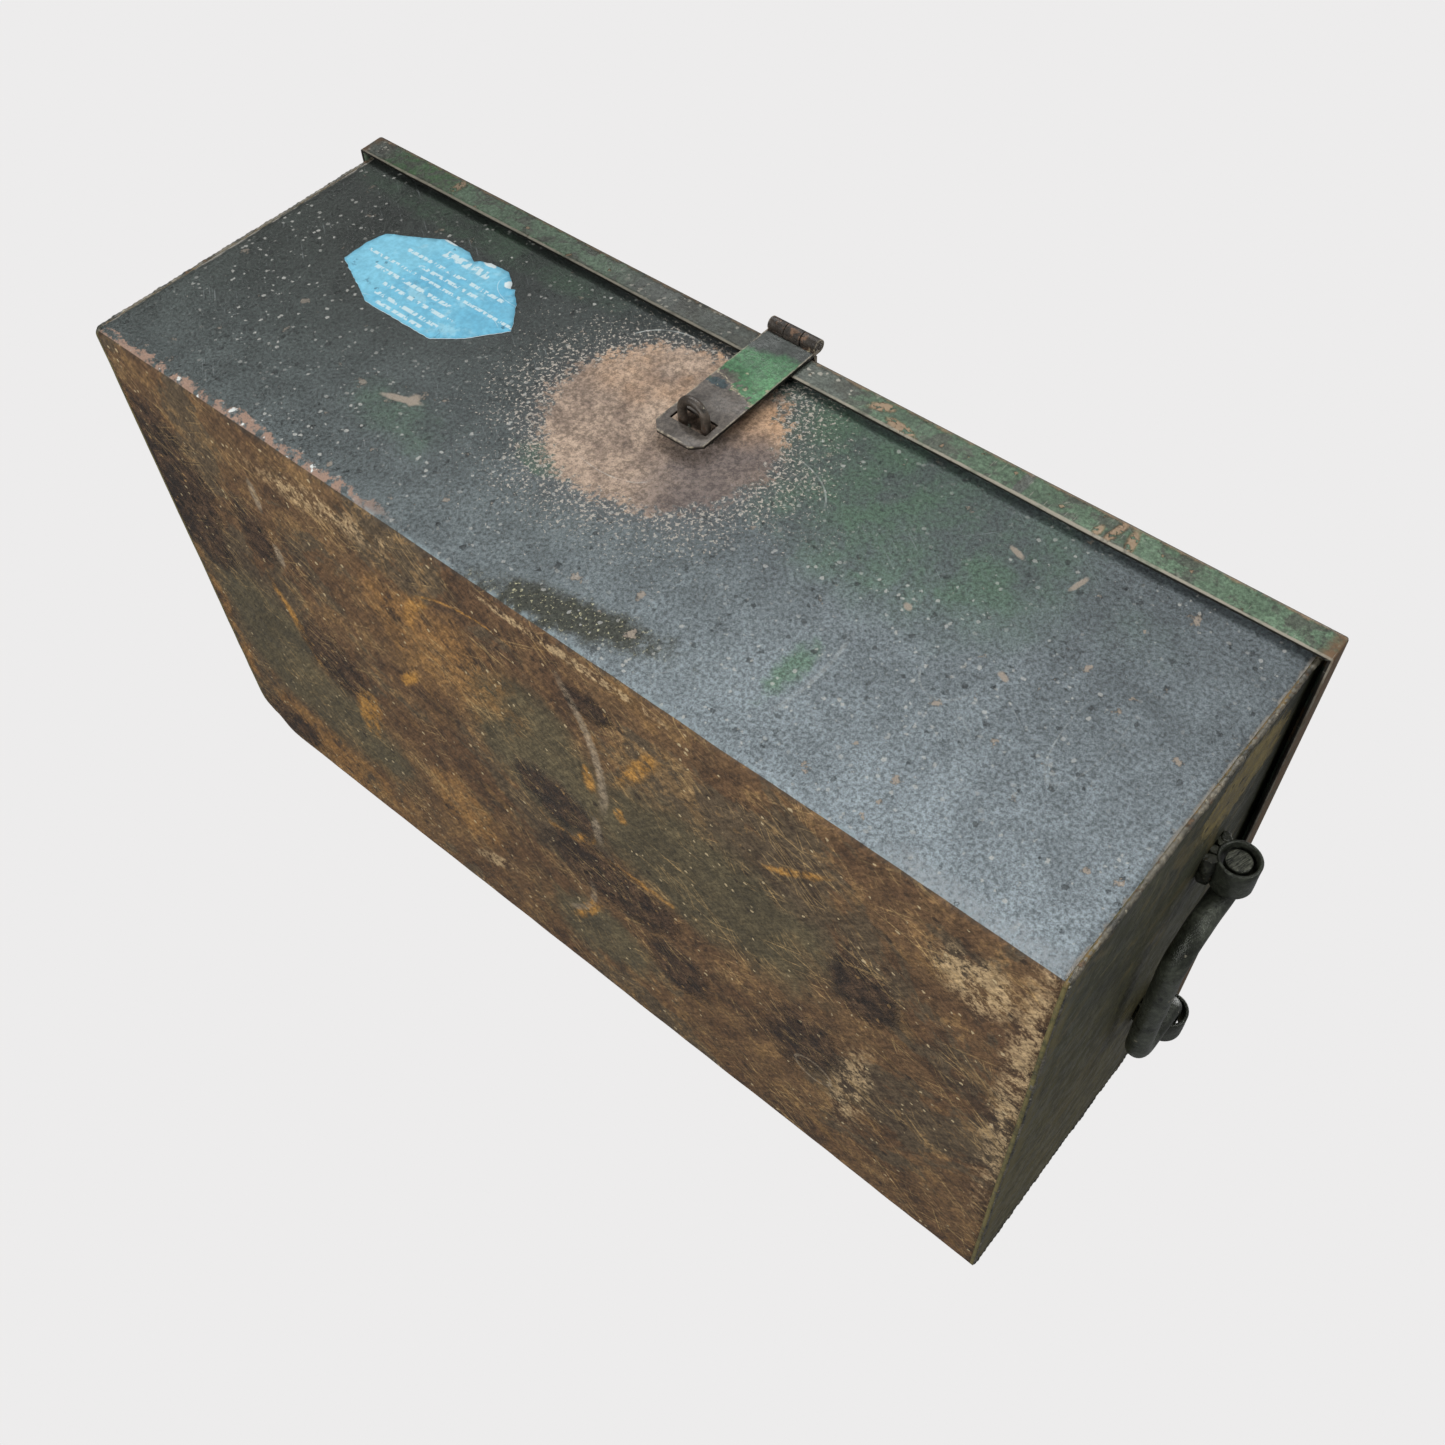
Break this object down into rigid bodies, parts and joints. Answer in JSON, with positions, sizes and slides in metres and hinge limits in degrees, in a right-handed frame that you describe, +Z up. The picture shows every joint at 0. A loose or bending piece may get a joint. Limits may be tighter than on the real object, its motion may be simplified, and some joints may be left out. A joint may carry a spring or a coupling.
{
  "type": "toolbox with tray",
  "caption": "Long welded sheet-steel toolbox with an overlapping hinged lid, a strap hasp over a staple, swinging bail handles and a sliding inner tray.",
  "frame": {"origin": "middle of the flat bottom face, between the front and back walls and the two end plates", "axes": "+X to the right along the length seen from the front, +Y from the front towards the hinges, +Z up out of the bottom"},
  "size_m": [0.6586, 0.3879, 0.2217],
  "materials": {
    "body_paint": "worn dark paint with rust",
    "lid_paint": "worn green paint with rusty edges",
    "hasp_paint": "green paint worn to bare steel",
    "dark_steel": "dark oxidised steel",
    "rod_steel": "dark painted steel, worn",
    "hinge_steel": "dark steel with rust",
    "rail_steel": "dull steel, rubbed on top",
    "tray_paint": "worn grey-green paint",
    "label_film": "smudged blue film"
  },
  "bodies": {
    "box": {"body_tub": "body_paint", "end_panel_left": "body_paint", "end_panel_right": "body_paint", "hasp_staple": "dark_steel", "tray_rail_front": "rail_steel", "tray_rail_back": "rail_steel", "label": "label_film", "handle_eye_left_front": "rod_steel", "handle_eye_left_back": "rod_steel", "handle_eye_right_front": "rod_steel", "handle_eye_right_back": "rod_steel", "hinge_spacer_left": "body_paint", "hinge_spacer_right": "body_paint", "hinge_leaf_body_left": "hinge_steel", "hinge_leaf_body_right": "hinge_steel"},
    "lid": {"lid_panel": "lid_paint", "hasp_leaf": "lid_paint", "hasp_pin": "dark_steel", "hinge_leaf_lid_left": "hinge_steel", "hinge_leaf_lid_right": "hinge_steel", "hinge_pin_left": "dark_steel", "hinge_pin_right": "dark_steel"},
    "hasp": {"hasp_strap": "hasp_paint"},
    "handle_left": {"handle_left": "rod_steel"},
    "handle_right": {"handle_right": "rod_steel"},
    "tray": {"tray_pan": "tray_paint", "tray_divider_long": "tray_paint", "tray_divider_short_left": "tray_paint", "tray_divider_short_right": "tray_paint", "tray_handle": "rod_steel"}
  },
  "joints": [
    {"name": "lid_hinge", "type": "hinge", "parent": "box", "child": "lid", "pos_m": [0, 0.1854, 0.194], "axis": [-1, 0, 0], "range_deg": [0, 190]},
    {"name": "hasp_hinge", "type": "hinge", "parent": "lid", "child": "hasp", "pos_m": [0.002, -0.18495, 0.218], "axis": [-1, 0, 0], "range_deg": [0, 270]},
    {"name": "handle_left_swing", "type": "hinge", "parent": "box", "child": "handle_left", "pos_m": [-0.31865, -0.005, 0.146], "axis": [0, 1, 0], "range_deg": [-9, 188]},
    {"name": "handle_right_swing", "type": "hinge", "parent": "box", "child": "handle_right", "pos_m": [0.31865, -0.005, 0.146], "axis": [0, -1, 0], "range_deg": [-9, 188]},
    {"name": "tray_slide", "type": "slide", "parent": "box", "child": "tray", "axis": [1, 0, 0], "range_m": [0, 0.273]}
  ]
}
